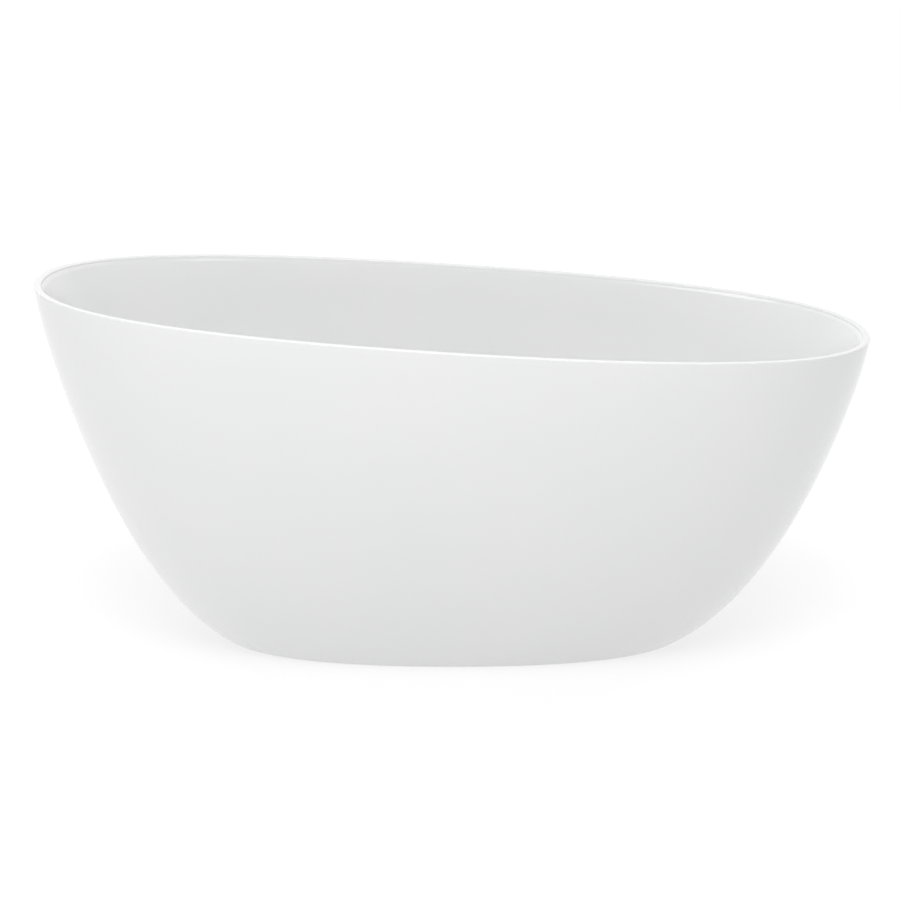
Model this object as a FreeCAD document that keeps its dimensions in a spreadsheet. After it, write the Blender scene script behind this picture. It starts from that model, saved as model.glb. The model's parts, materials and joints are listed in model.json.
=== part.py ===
import FreeCAD, Part
import math
import os
import re

import Sketcher

# A freestanding oval slipper bath: an acrylic basin hung by its lip inside an outer shell, on a board and
# a levelled steel frame, with a press-top waste, a bottle trap and an overflow. Millimetres.
# +Z is up, +X runs to the foot end with the low rim, and the origin is on the floor under the middle.

os.makedirs("parts", exist_ok=True)
doc = FreeCAD.newDocument("Bathtub")
V = FreeCAD.Vector

# ---------------------------------------------------------------- driving dimensions

SIZES = {
    # outer shell
    "rim_half_length": 800,
    "rim_half_width": 370,
    "base_half_length": 465,
    "base_half_width": 240,
    "rim_height": 650,
    "rim_rise": 52,
    "shell_wall": 5,
    "flange_width": 30,
    "edge_round": 2.5,
    "foot_round": 4,
    # basin
    "basin_wall": 6,
    "lip_depth": 6,
    "lip_gap": 3,
    "end_gap": 50,
    "side_gap": 25,
    "basin_underside": 126,
    "floor_fall": 4,
    "blend_height": 90,
    "blend_run": 100,
    # board and frame
    "board_depth": 15,
    "board_head": 400,
    "board_foot": 262,
    "board_half_width": 145,
    "board_corner": 40,
    "tube": 25,
    "tube_wall": 1.5,
    "rail_half_length": 400,
    "rail_place": 115,
    "cross_head": 340,
    "cross_middle": 50,
    "cross_foot": 240,
    "screw_radius": 2.5,
    "screw_head": 5,
    "screw_head_depth": 3,
    "screw_bite": 10,
    "bracket_width": 30,
    "bracket_plate": 2,
    "bracket_place": 150,
    "bracket_reach": 200,
    "bracket_toe": 24,
    "toe_bite": 3.5,
    # levelling feet
    "foot_place": 340,
    "pad_radius": 24,
    "pad_depth": 12,
    "pad_floor": 4,
    "stud_radius": 6,
    "stud_top_gap": 7,
    "nut_meat": 5,
    "weld_nut_depth": 10,
    "lock_nut_depth": 8,
    # waste
    "drain_place": 330,
    "hole_room": 5.5,
    "seat_room": 1,
    "seat_skin": 4,
    "gasket_depth": 1,
    "gasket_inset": 2,
    "drain_flange_radius": 35,
    "drain_flange_depth": 2,
    "throat": 18,
    "neck_wall": 2.5,
    "neck_length": 17,
    "under_gasket_depth": 4,
    "body_ring_depth": 4,
    "body_wall": 3.5,
    "body_step": 2,
    "step_room": 1,
    "body_tube": 22,
    "body_tube_wall": 3,
    "inlet_drop": 20,
    "inlet_room": 1,
    # press plug
    "cap_overhang": 9.5,
    "cap_depth": 5,
    "cap_edge": 2,
    "cap_shoulder": 18,
    "shoulder_rise": 4.25,
    "seal_depth": 2,
    "seal_land": 3.5,
    "stem_radius": 4,
    "stem_length": 43,
    "collar_radius": 7.5,
    "collar_depth": 2,
    "housing_bore": 8,
    "housing_wall": 1.5,
    "housing_floor": 2,
    "housing_length": 28,
    "spoke_width": 3,
    "spoke_short": 1,
    "cage_ring": 4,
    "spring_length": 20,
    "spring_radius": 6,
    "spring_wire": 0.6,
    "spring_turns": 6,
    # trap
    "trap_radius": 44,
    "trap_wall": 3,
    "trap_lap": 8,
    "dip_drop": 3,
    "cup_bottom": 6,
    "cup_wall": 6,
    "cup_room": 1,
    "socket_room": 2,
    "collar_height": 8,
    "collar_wall": 5,
    "trap_seal_depth": 4,
    "nut_wall": 5,
    "nut_lip": 3,
    "outlet_height": 50,
    "outlet_radius": 20,
    "outlet_wall": 1.8,
    "socket_wall": 4,
    "socket_reach": 72,
    "outlet_nut_cover": 12,
    "outlet_end": 120,
    "pipe_short": 1,
    "outlet_push": 50,
    "stop_width": 4,
    "stop_rise": 3,
    # overflow
    "overflow_drop": 98,
    "overflow_hole": 22,
    "overflow_seat": 33,
    "seat_share": 0.8,
    "cover_radius": 31,
    "cover_depth": 9,
    "cover_skin": 2,
    "cover_lift": 0.5,
    "cover_slot": 28,
    "ring_radius": 26,
    "ring_depth": 2,
    "ring_tube": 20,
    "ring_tube_wall": 3.5,
    "ring_tube_reach": 8,
    "overflow_gasket_depth": 3,
    "elbow_flange": 29,
    "elbow_wall": 3,
    "elbow_depth": 30,
    "spigot_place": 17,
    "spigot_radius": 9,
    "spigot_wall": 2,
    "spigot_reach": 42,
    "hose_wall": 1.95,
    "hose_overlap": 12,
    "hose_bend": 160,
    "hose_top_run": 60,
    "hose_top_bend": 300,
    "hose_middle": 290,
    "hose_lower": 230,
    "hose_middle_bend": 400,
    "clamp_wall": 2.4,
    "clamp_length": 10,
    "clamp_low_place": 3,
    "clamp_top_place": 2,
    # fits
    "running": 0.05,
}
# Sizes worked out from the sheet's own, so that what fits together changes together.
DERIVED = {
    # frame
    "rail_top": "basin_underside - board_depth",
    "rail_bottom": "rail_top - tube",
    "weld_nut_bottom": "rail_bottom - weld_nut_depth",
    "nut_radius": "stud_radius + nut_meat",
    # waste
    "drain_seat": "basin_underside + seat_skin",
    "flange_bottom": "drain_seat + gasket_depth",
    "flange_top": "flange_bottom + drain_flange_depth",
    "neck_bottom": "flange_bottom - neck_length",
    "drain_body_top": "basin_underside - under_gasket_depth",
    "inlet_height": "basin_underside - inlet_drop",
    "drain_hole": "throat + neck_wall + hole_room",
    "seat_radius": "drain_flange_radius + seat_room",
    "hose_radius": "spigot_radius + running + hose_wall",
    "inlet_reach": "seat_radius + inlet_room + hose_overlap",
    "hose_start": "drain_place + inlet_reach - hose_overlap",
    "body_bore": "throat + neck_wall + running",
    # plug
    "cap_bottom": "flange_top + seal_depth",
    "stem_top": "cap_bottom + cap_depth / 2",
    "cap_radius": "throat + neck_wall + cap_overhang",
    "seal_radius": "throat + neck_wall + seal_land",
    "cage_top": "flange_bottom - cage_ring",
    "housing_bottom": "cage_top - housing_length",
    "spring_bottom": "housing_bottom + housing_floor",
    "collar_bottom": "spring_bottom + spring_length",
    # trap
    "socket_radius": "outlet_radius + running + socket_wall",
    "trap_top": "outlet_height + socket_radius + socket_room",
    "cup_top": "outlet_height - socket_radius - cup_room",
    "trap_skirt_bottom": "cup_top - trap_lap",
    "dip_bottom": "trap_skirt_bottom - dip_drop",
    "trap_collar_bore": "body_tube + running",
    "pipe_start": "outlet_end - drain_place + socket_reach",
    "pipe_stop": "socket_reach - trap_radius - pipe_short",
    "trap_nut_bottom": "trap_top + socket_room",
    "trap_nut_top": "trap_top + collar_height + trap_seal_depth + nut_lip",
    # overflow
    "overflow_seat_in": "basin_wall * seat_share",
    "ring_top": "overflow_seat_in + ring_depth",
    "cover_bottom": "overflow_seat_in + cover_lift",
    "elbow_top": "0 - overflow_gasket_depth",
}

# The oval's fullness, the side curve's two middle handles as (growth, height) shares, how many sections
# each surface is drawn through, how late the gap closes under the lip, and how far the basin is drawn past
# the rim. HALVINGS is the search's depth and TOUCH the smallest length that counts.
SHELL_FULLNESS = 0.662
SHELL_BELLY_LOW = (0.631, 0.191)
SHELL_BELLY_HIGH = (0.993, 0.898)
SHELL_SECTIONS = 12
BLEND_SECTIONS = 6
LIP_SHARPNESS = 8
PAST_RIM = 0.5
HALVINGS = 40
TOUCH = 0.01

sizes = doc.addObject("Spreadsheet::Sheet", "Sizes")


def store(name, value):
    """Write one named number to the next row of the sheet."""
    row = store.row
    sizes.set(f"A{row}", name)
    sizes.set(f"B{row}", f"{value:.6g}")
    sizes.setAlias(f"B{row}", name)
    store.row += 1


store.row = 1
for name, value in SIZES.items():
    store(name, value)
doc.recompute()


def bound(text):
    """Turn plain words in an expression into references to the sheet, working out the derived ones."""
    return re.sub(r"[a-z][a-z_]+", reference, str(text))


def reference(word):
    name = word.group(0)
    if name in DERIVED:
        return "(" + bound(DERIVED[name]) + ")"
    return "Sizes." + name


def number(text):
    """The present value of an expression written in the sheet's words."""
    return float(sizes.evalExpression(bound(text)))


def size(name):
    """The value of one named size, held in the sheet or derived from it."""
    if name in DERIVED:
        return number(name)
    return float(sizes.get(name))


# ---------------------------------------------------------------- the two curved shells


def belly(share):
    """Growth of the plan (0 base, 1 rim) and height share, along the shell's side curve."""
    a = 3 * share * (1 - share) ** 2
    b = 3 * share ** 2 * (1 - share)
    c = share ** 3
    growth = a * SHELL_BELLY_LOW[0] + b * SHELL_BELLY_HIGH[0] + c
    height = a * SHELL_BELLY_LOW[1] + b * SHELL_BELLY_HIGH[1] + c
    return growth, height


def shell_ring(share):
    """Half length, half width, height at the middle and end-to-middle fall of one shell section."""
    growth, height = belly(share)
    half_length = size("base_half_length") + growth * (size("rim_half_length") - size("base_half_length"))
    half_width = size("base_half_width") + growth * (size("rim_half_width") - size("base_half_width"))
    return half_length, half_width, height * size("rim_height"), height * size("rim_rise")


def share_at(height):
    """Place on the side curve where its middle reaches this height."""
    low, high = 0.0, 1.0
    for _ in range(HALVINGS):
        middle = (low + high) / 2
        if belly(middle)[1] * size("rim_height") < height:
            low = middle
        else:
            high = middle
    return low


def grown(rings, distance):
    """The same rings moved along the wall's normal, outwards when distance is positive."""
    moved = []
    for i, (a, b, z, fall) in enumerate(rings):
        before = rings[max(i - 1, 0)]
        after = rings[min(i + 1, len(rings) - 1)]
        out = (after[0] + after[1] - before[0] - before[1]) / 2
        up = after[2] - before[2]
        length = math.hypot(out, up)
        step = distance * up / length
        moved.append((a + step, b + step, z - distance * out / length, fall))
    return moved


def ring_wire(ring):
    """A closed oval of four Bezier quarters on an inclined plane."""
    a, b, z, fall = ring
    k = SHELL_FULLNESS
    quarter = [(a, 0), (a, k * b), (k * a, b), (0, b)]
    left = [(-x, y) for x, y in reversed(quarter)]
    upper = quarter + left[1:]
    lower = [(-x, -y) for x, y in upper]
    outline = upper + lower[1:]
    edges = []
    for start in range(0, 12, 3):
        curve = Part.BezierCurve()
        curve.setPoles([V(x, y, z - fall * x / a) for x, y in outline[start:start + 4]])
        edges.append(curve.toShape())
    return Part.Wire(edges)


def solid_through(rings):
    return Part.makeLoft([ring_wire(ring) for ring in rings], True, False)


def wall_gap(name, height_share):
    """Room between the two shells: the lip gap at the rim, growing quickly below it."""
    return size("lip_gap") + (size(name) - size("lip_gap")) * (1 - height_share ** LIP_SHARPNESS)


def basin_ring(height, inset):
    """One ring of the basin's inner face at this middle height, pulled in by the floor's blend."""
    a, b, z, fall = shell_ring(share_at(height))
    height_share = z / size("rim_height")
    walls = size("shell_wall") + size("basin_wall")
    a -= walls + wall_gap("end_gap", height_share) + inset
    b -= walls + wall_gap("side_gap", height_share) + inset
    floor_height = number("basin_underside + basin_wall + floor_fall / 2")
    climb = (height - floor_height) / (size("rim_height") - floor_height)
    fall = size("floor_fall") / 2 * (1 - climb) + size("rim_rise") * climb
    return a, b, height, fall


def basin_rings():
    """Rings of the inner face: round the floor's blend first, then up the wall to the rim."""
    floor_height = number("basin_underside + basin_wall + floor_fall / 2")
    rings = []
    for i in range(BLEND_SECTIONS + 1):
        turn = math.pi / 2 * i / BLEND_SECTIONS
        lift = size("blend_height") * (1 - math.cos(turn))
        inset = size("blend_run") * (1 - math.sin(turn))
        rings.append(basin_ring(floor_height + lift, inset))
    start = share_at(floor_height + size("blend_height"))
    for i in range(1, SHELL_SECTIONS + 1):
        share = start + (1 - start) * i / SHELL_SECTIONS
        rings.append(basin_ring(belly(share)[1] * size("rim_height"), 0))
    last, rim = rings[-2:]
    rings.append(tuple(here + (here - before) * PAST_RIM for before, here in zip(last, rim)))
    return rings


def above(drop):
    """A block that holds everything above a plane this far under the rim's own plane."""
    reach = 2 * size("rim_half_length")
    slope = size("rim_rise") / size("rim_half_length")
    level = size("rim_height") - drop
    top = size("rim_height") + reach
    side = size("rim_half_width") * 2
    corners = [(-reach, level + slope * reach), (reach, level - slope * reach), (reach, top), (-reach, top)]
    points = [V(x, -side, z) for x, z in corners]
    face = Part.Face(Part.makePolygon(points + points[:1]))
    return face.extrude(V(0, 2 * side, 0))


def edges_near(shape, test):
    """Edges whose ends and middle all pass the test."""
    found = []
    for edge in shape.Edges:
        middle = (edge.FirstParameter + edge.LastParameter) / 2
        places = [edge.valueAt(p) for p in (edge.FirstParameter, middle, edge.LastParameter)]
        if all(test(place) for place in places):
            found.append(edge)
    return found


def rim_level(x):
    return size("rim_height") - size("rim_rise") * x / size("rim_half_length")


def on_rim(place):
    return abs(place.z - rim_level(place.x)) < TOUCH


def shape_feature(label, shape):
    feature = doc.addObject("Part::Feature", label)
    feature.Label = label
    feature.Shape = shape
    feature.Placement = FreeCAD.Placement()
    return feature


# ---------------------------------------------------------------- builders for the turned and sawn pieces

nodes = []


def node(label, item):
    """Name a finished sub-part and put it on the list of files to write."""
    item.Label = label
    nodes.append(item)
    return item


def placed(item, x="0", y="0", z="0"):
    item.setExpression("Placement.Base.x", bound(x))
    item.setExpression("Placement.Base.y", bound(y))
    item.setExpression("Placement.Base.z", bound(z))
    return item


def on_wall(item):
    """Stand a piece on the overflow's axis: its +Z into the bath, its +X up along the wall."""
    item.Placement = FreeCAD.Placement(V(0, 0, 0), FreeCAD.Rotation(V(0, -1, 0), 45))
    item.setExpression("Placement.Rotation.Angle", bound("90 - overflow_lean"))
    return placed(item, "overflow_place", "0", "overflow_height")


def along_x(item, x, y, z):
    """Turn a piece so that its own +Z runs along +X."""
    item.Placement = FreeCAD.Placement(V(0, 0, 0), FreeCAD.Rotation(V(0, 1, 0), 90))
    return placed(item, x, y, z)


def sketch_on(body, role):
    sketch = body.newObject("Sketcher::SketchObject", body.Name + "_profile")
    plane = next(item for item in body.Origin.OriginFeatures if item.Role == role)
    sketch.AttachmentSupport = [(plane, "")]
    sketch.MapMode = "FlatFace"
    return sketch


def draw_outline(sketch, points):
    """A closed outline whose corners are all held by dimensions bound to the sheet."""
    values = [(number(across), number(up)) for across, up in points]
    count = len(points)
    for i in range(count):
        start, end = values[i], values[(i + 1) % count]
        sketch.addGeometry(Part.LineSegment(V(*start, 0), V(*end, 0)), False)
    for i in range(count):
        sketch.addConstraint(Sketcher.Constraint("Coincident", i, 2, (i + 1) % count, 1))
    for i, corner in enumerate(points):
        for kind, axis_line, text, value in zip(("DistanceX", "DistanceY"), (-2, -1), corner, values[i]):
            if value == 0:
                sketch.addConstraint(Sketcher.Constraint("PointOnObject", i, 1, axis_line))
            else:
                index = sketch.addConstraint(Sketcher.Constraint(kind, -1, 1, i, 1, value))
                sketch.setExpression(f"Constraints[{index}]", bound(text))


def turned(label, outline):
    """A body of revolution about its own Z, from (radius, height) corners."""
    body = doc.addObject("PartDesign::Body", label)
    sketch = sketch_on(body, "XZ_Plane")
    draw_outline(sketch, outline)
    turn = body.newObject("PartDesign::Revolution", label + "_turn")
    turn.Profile = sketch
    turn.ReferenceAxis = (sketch, ["V_Axis"])
    turn.Angle = 360
    return body


def ring(label, bore, radius, low, high):
    return turned(label, [(bore, low), (radius, low), (radius, high), (bore, high)])


def folded(label, outline, width):
    """A bent strip: an outline across the bath, in its YZ plane, pushed along X by the width."""
    body = doc.addObject("PartDesign::Body", label)
    sketch = sketch_on(body, "YZ_Plane")
    draw_outline(sketch, outline)
    pad = body.newObject("PartDesign::Pad", label + "_pad")
    pad.Profile = sketch
    pad.Midplane = True
    pad.setExpression("Length", bound(width))
    return body


def block(label, length, width, height, x, y, z):
    box = doc.addObject("Part::Box", label)
    box.setExpression("Length", bound(length))
    box.setExpression("Width", bound(width))
    box.setExpression("Height", bound(height))
    return placed(box, x, y, z)


def rod(label, radius, height, x="0", y="0", z="0"):
    cylinder = doc.addObject("Part::Cylinder", label)
    cylinder.setExpression("Radius", bound(radius))
    cylinder.setExpression("Height", bound(height))
    return placed(cylinder, x, y, z)


def hexagon(label, radius, height, x="0", y="0", z="0"):
    prism = doc.addObject("Part::Prism", label)
    prism.Polygon = 6
    prism.setExpression("Circumradius", bound(radius))
    prism.setExpression("Height", bound(height))
    return placed(prism, x, y, z)


def fused(label, items):
    union = doc.addObject("Part::MultiFuse", label)
    union.Shapes = items
    return union


def cut(label, base, tools):
    tool = tools[0] if len(tools) == 1 else fused(label + "_tools", tools)
    result = doc.addObject("Part::Cut", label)
    result.Base = base
    result.Tool = tool
    return result


def group(label, items):
    compound = doc.addObject("Part::Compound", label)
    compound.Links = items
    return compound


# ---------------------------------------------------------------- shells

outer_rings = [shell_ring(i / SHELL_SECTIONS) for i in range(SHELL_SECTIONS + 1)]
well_rings = basin_rings()
skin_rings = grown(well_rings, size("basin_wall"))
floor_a, floor_b = well_rings[0][:2]
skin_rings[0] = (floor_a, floor_b, size("basin_underside"), 0)


def foot_profile_at(rings, height):
    """Where these rings meet the middle plane at the foot end at this height, and the lean from upright."""
    profile = [(a, z - fall) for a, b, z, fall in rings]
    for (x0, z0), (x1, z1) in zip(profile, profile[1:]):
        if z0 <= height <= z1:
            x = x0 + (x1 - x0) * (height - z0) / (z1 - z0)
            return x, math.degrees(math.atan2(x1 - x0, z1 - z0))
    raise ValueError("no wall at this height")


overflow_height = number("rim_height - rim_rise - overflow_drop")
overflow_place, overflow_lean = foot_profile_at(skin_rings, overflow_height)
store("overflow_height", overflow_height)
store("overflow_place", overflow_place)
store("overflow_lean", overflow_lean)
doc.recompute()


def overflow_point(along, across):
    """World point of the overflow's own (+X up the wall, +Z into the bath) coordinates."""
    lean = math.radians(size("overflow_lean"))
    x = size("overflow_place") + along * math.sin(lean) - across * math.cos(lean)
    z = size("overflow_height") + along * math.cos(lean) + across * math.sin(lean)
    return V(x, 0, z)


def overflow_disc(radius, low, high):
    """A solid disc on the overflow's axis between two distances from the wall's back."""
    start = overflow_point(0, low)
    direction = overflow_point(0, high) - start
    return Part.makeCylinder(radius, high - low, start, direction)


def upright(radius, low, high, x):
    return Part.makeCylinder(radius, high - low, V(x, 0, low))


def shell_body():
    """The outer shell's whole outside as one solid, its rim and foot edges rounded."""
    whole = solid_through(outer_rings)
    rounded = whole.makeFillet(size("foot_round"), edges_near(whole, lambda place: abs(place.z) < TOUCH))
    return rounded.makeFillet(size("edge_round"), edges_near(rounded, on_rim))


def make_outer_shell(body):
    room = solid_through(grown(outer_rings, -size("shell_wall")))
    reach = 2 * size("rim_half_length")
    floor_block = Part.makeBox(2 * reach, 2 * reach, size("shell_wall"), V(-reach, -reach, 0))
    room = room.cut(floor_block)
    a, b = outer_rings[0][0] - size("flange_width"), outer_rings[0][1] - size("flange_width")
    opening = Part.Face(ring_wire((a, b, 0, 0))).extrude(V(0, 0, 2 * size("shell_wall")))
    shell = body.cut(above(size("lip_depth"))).cut(room).cut(opening)
    for x, y in bracket_places():
        side = 1 if y > 0 else -1
        toe = side * number("bracket_reach + bracket_toe / 2")
        hole = Part.makeCylinder(size("screw_radius"), size("screw_bite"), V(x, toe, pilot_bottom()))
        shell = shell.cut(hole)
    return shell


def pilot_bottom():
    """The shell screws stop short of the floor inside the flange."""
    return size("shell_wall") - size("toe_bite")


def bracket_places():
    x, y = size("bracket_place"), size("rail_place")
    return [(-x, -y), (-x, y), (x, -y), (x, y)]


def make_basin(body):
    """Basin wall, floor and lip, with the waste seat, the overflow seats and their two holes."""
    basin = solid_through(skin_rings).fuse(above(size("lip_depth")))
    basin = basin.common(body).cut(solid_through(well_rings))
    wall = size("basin_wall")
    basin = basin.fuse(overflow_disc(size("overflow_seat"), 0, wall * size("seat_share")))
    seat_cut = size("overflow_seat") + size("seat_room")
    basin = basin.cut(overflow_disc(seat_cut, wall * size("seat_share"), wall * 3))
    basin = basin.cut(overflow_disc(seat_cut, -wall, 0))
    basin = basin.cut(overflow_disc(size("overflow_hole"), -wall, wall * 3))
    seat = size("basin_underside") + size("seat_skin")
    x = size("drain_place")
    basin = basin.cut(upright(size("seat_radius"), seat, seat + 4 * wall, x))
    basin = basin.cut(upright(size("drain_hole"), 0, seat + wall, x))
    return basin


body_solid = shell_body()
node("outer_shell", shape_feature("outer_shell", make_outer_shell(body_solid)))
node("inner_basin", shape_feature("inner_basin", make_basin(body_solid)))

# ---------------------------------------------------------------- board and steel frame

# Places of the board's screws, as shares of the rails' half length.
SCREW_SHARES = (-0.9, -0.5, -0.25, 0.5)


def screw_spots():
    """The board screws, in two rows along the rails."""
    spots = []
    for share in SCREW_SHARES:
        for side in ("", "-"):
            spots.append((f"{share} * rail_half_length", f"{side}rail_place"))
    return spots


def screw(label, length):
    """Pan head below, shank up from the origin."""
    outline = [("0", "0 - screw_head_depth"), ("screw_head", "0 - screw_head_depth"), ("screw_head", "0")]
    outline += [("screw_radius", "0"), ("screw_radius", length), ("0", length)]
    return turned(label, outline)


def make_board():
    length, width = "board_head + board_foot", "2 * board_half_width"
    sheet = block("board_sheet", length, width, "board_depth", "-board_head", "-board_half_width", "rail_top")
    doc.recompute()
    rounded = doc.addObject("Part::Fillet", "board_rounded")
    rounded.Base = sheet
    radius = size("board_corner")
    corners = [i + 1 for i, edge in enumerate(sheet.Shape.Edges) if is_upright(edge)]
    rounded.Edges = [(i, radius, radius) for i in corners]
    holes = []
    for i, (x, y) in enumerate(screw_spots(), 1):
        holes.append(rod(f"board_pilot_{i}", "screw_radius", "screw_bite", x, y, "rail_top"))
    return cut("base_board", rounded, holes)


def is_upright(edge):
    first, last = edge.Vertexes[0].Point, edge.Vertexes[-1].Point
    return abs(first.x - last.x) + abs(first.y - last.y) < TOUCH


def make_rail(label, side):
    """A square tube along the bath, drilled for two feet, four board screws and two bracket screws."""
    length = "2 * rail_half_length"
    outside = block(label + "_bar", length, "tube", "tube", "-rail_half_length",
                    f"{side}rail_place - tube / 2", "rail_bottom")
    inside = block(label + "_room", length, "tube - 2 * tube_wall", "tube - 2 * tube_wall",
                   "-rail_half_length", f"{side}rail_place - tube / 2 + tube_wall", "rail_bottom + tube_wall")
    tools = [inside]
    for name, x in (("head", "-foot_place"), ("foot", "foot_place")):
        tools.append(rod(f"{label}_{name}_stud_hole", "stud_radius + running", "2 * tube_wall", x,
                         f"{side}rail_place", "rail_bottom - tube_wall / 2"))
    for i, (x, y) in enumerate(spot for spot in screw_spots() if (spot[1][0] == "-") == (side == "-")):
        tools.append(rod(f"{label}_screw_hole_{i}", "screw_radius + running", "tube", x, y, "rail_bottom"))
    for name, x in (("head", "-bracket_place"), ("foot", "bracket_place")):
        hole = rod(f"{label}_{name}_side_hole", "screw_radius", "tube / 2 + 1")
        turn = 90 if side == "-" else -90
        hole.Placement = FreeCAD.Placement(V(0, 0, 0), FreeCAD.Rotation(V(1, 0, 0), turn))
        tools.append(placed(hole, x, f"{side}rail_place", "rail_bottom + tube / 2"))
    return cut(label, outside, tools)


def make_crossbar(label, place, studded):
    """A shorter tube welded between the two rails."""
    width = "2 * rail_place - tube"
    y = "tube / 2 - rail_place"
    bar = block(label + "_bar", "tube", width, "tube", f"{place} - tube / 2", y, "rail_bottom")
    tools = [block(label + "_room", "tube - 2 * tube_wall", width, "tube - 2 * tube_wall",
                   f"{place} - tube / 2 + tube_wall", y, "rail_bottom + tube_wall")]
    if studded:
        tools.append(rod(label + "_stud_hole", "stud_radius + running", "2 * tube_wall", place, "0",
                         "rail_bottom - tube_wall / 2"))
    return cut(label, bar, tools)


node("base_board", make_board())
node("frame_rail_left", make_rail("frame_rail_left", ""))
node("frame_rail_right", make_rail("frame_rail_right", "-"))
node("crossbar_head", make_crossbar("crossbar_head", "-cross_head + tube", False))
node("crossbar_middle", make_crossbar("crossbar_middle", "-cross_middle", True))
node("crossbar_foot", make_crossbar("crossbar_foot", "cross_foot", False))

board_screws = []
for i, (x, y) in enumerate(screw_spots(), 1):
    item = screw(f"board_screw_{i}", "tube + screw_bite")
    board_screws.append(placed(item, x, y, "rail_bottom"))
node("board_screws", group("board_screws", board_screws))

# ---------------------------------------------------------------- brackets from the frame to the shell

side_screws = []


def make_bracket(index, x_name, side):
    """A stepped strip: flap on the rail's side, shelf, leg down and toe on the shell's flange."""
    rail_face = "rail_place + tube / 2"
    toe_end = "bracket_reach + bracket_toe"
    outline = [
        (rail_face, "rail_top"),
        (rail_face, "rail_bottom"),
        ("bracket_reach - bracket_plate", "rail_bottom"),
        ("bracket_reach - bracket_plate", "shell_wall"),
        (toe_end, "shell_wall"),
        (toe_end, "shell_wall + bracket_plate"),
        ("bracket_reach", "shell_wall + bracket_plate"),
        ("bracket_reach", "rail_bottom + bracket_plate"),
        (rail_face + " + bracket_plate", "rail_bottom + bracket_plate"),
        (rail_face + " + bracket_plate", "rail_top"),
    ]
    if side == "-":
        outline = [(f"0 - ({across})", up) for across, up in outline]
    strip = placed(folded(f"shell_bracket_{index}_strip", outline, "bracket_width"), x_name)
    toe_y = f"{side}(bracket_reach + bracket_toe / 2)"
    toe_hole = rod(f"shell_bracket_{index}_toe_hole", "screw_radius + running", "4 * bracket_plate", x_name,
                   toe_y, "shell_wall - bracket_plate")
    flap_hole = rod(f"shell_bracket_{index}_flap_hole", "screw_radius + running", "4 * bracket_plate")
    turn = 90 if side == "-" else -90
    flap_hole.Placement = FreeCAD.Placement(V(0, 0, 0), FreeCAD.Rotation(V(1, 0, 0), turn))
    placed(flap_hole, x_name, f"{side}(rail_place + tube / 2 - bracket_plate)", "rail_bottom + tube / 2")
    down = screw(f"toe_screw_{index}", "bracket_plate + toe_bite")
    down.Placement = FreeCAD.Placement(V(0, 0, 0), FreeCAD.Rotation(V(1, 0, 0), 180))
    side_screws.append(placed(down, x_name, toe_y, "shell_wall + bracket_plate"))
    inward = screw(f"flap_screw_{index}", "bracket_plate + screw_bite")
    inward.Placement = FreeCAD.Placement(V(0, 0, 0), FreeCAD.Rotation(V(1, 0, 0), -turn))
    flap_y = f"{side}({rail_face} + bracket_plate)"
    side_screws.append(placed(inward, x_name, flap_y, "rail_bottom + tube / 2"))
    return cut(f"shell_bracket_{index}", strip, [toe_hole, flap_hole])


BRACKETS = [("-bracket_place", "-"), ("-bracket_place", ""), ("bracket_place", "-"), ("bracket_place", "")]
for index, (x_name, side) in enumerate(BRACKETS, 1):
    node(f"shell_bracket_{index}", make_bracket(index, x_name, side))
node("bracket_screws", group("bracket_screws", side_screws))

# ---------------------------------------------------------------- five levelling feet

FEET = [("-foot_place", "-rail_place"), ("-foot_place", "rail_place"), ("foot_place", "-rail_place"),
        ("foot_place", "rail_place"), ("-cross_middle", "0")]


def make_foot(index, x, y):
    """Weld nut and lock nut on the frame; a threaded stud in a rubber pad that screw down together."""
    for name, depth, z in (("weld_nut", "weld_nut_depth", "weld_nut_bottom"),
                           ("lock_nut", "lock_nut_depth", "weld_nut_bottom - lock_nut_depth")):
        label = f"{name}_{index}"
        blank = hexagon(label + "_blank", "nut_radius", depth, x, y, z)
        bore = rod(label + "_bore", "stud_radius + running", depth, x, y, z)
        node(label, cut(label, blank, [bore]))
    stud = rod(f"foot_stud_{index}", "stud_radius", "rail_top - stud_top_gap - pad_floor", x, y, "pad_floor")
    node(f"foot_stud_{index}", stud)
    pad = [("0", "0"), ("pad_radius", "0"), ("pad_radius", "pad_depth / 2"), ("pad_radius / 2", "pad_depth"),
           ("stud_radius", "pad_depth"), ("stud_radius", "pad_floor"), ("0", "pad_floor")]
    node(f"foot_pad_{index}", placed(turned(f"foot_pad_{index}", pad), x, y))


for index, (x, y) in enumerate(FEET, 1):
    make_foot(index, x, y)

# ---------------------------------------------------------------- waste


def at_drain(item):
    return placed(item, "drain_place")


def make_drain_body():
    """The cup under the bath floor: ring, threaded wall, outlet tube and the overflow's inlet spigot."""
    outline = [
        ("body_tube - body_tube_wall", "trap_top + step_room"),
        ("body_tube", "trap_top + step_room"),
        ("body_tube", "inlet_height - spigot_radius - step_room - body_step"),
        ("body_bore + body_wall", "inlet_height - spigot_radius - step_room"),
        ("body_bore + body_wall", "drain_body_top - body_ring_depth"),
        ("seat_radius", "drain_body_top - body_ring_depth"),
        ("seat_radius", "drain_body_top"),
        ("body_bore", "drain_body_top"),
        ("body_bore", "neck_bottom - step_room"),
        ("body_tube - body_tube_wall", "neck_bottom - step_room - body_step"),
    ]
    cup = at_drain(turned("drain_body_cup", outline))
    start = "body_bore + body_wall / 2"
    spigot = along_x(rod("drain_body_spigot", "spigot_radius", f"inlet_reach - ({start})"),
                     f"drain_place + {start}", "0", "inlet_height")
    bore = along_x(rod("drain_body_bore", "spigot_radius - spigot_wall", "inlet_reach + step_room"),
                   "drain_place", "0", "inlet_height")
    return cut("drain_body", fused("drain_body_solid", [cup, spigot]), [bore])


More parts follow.
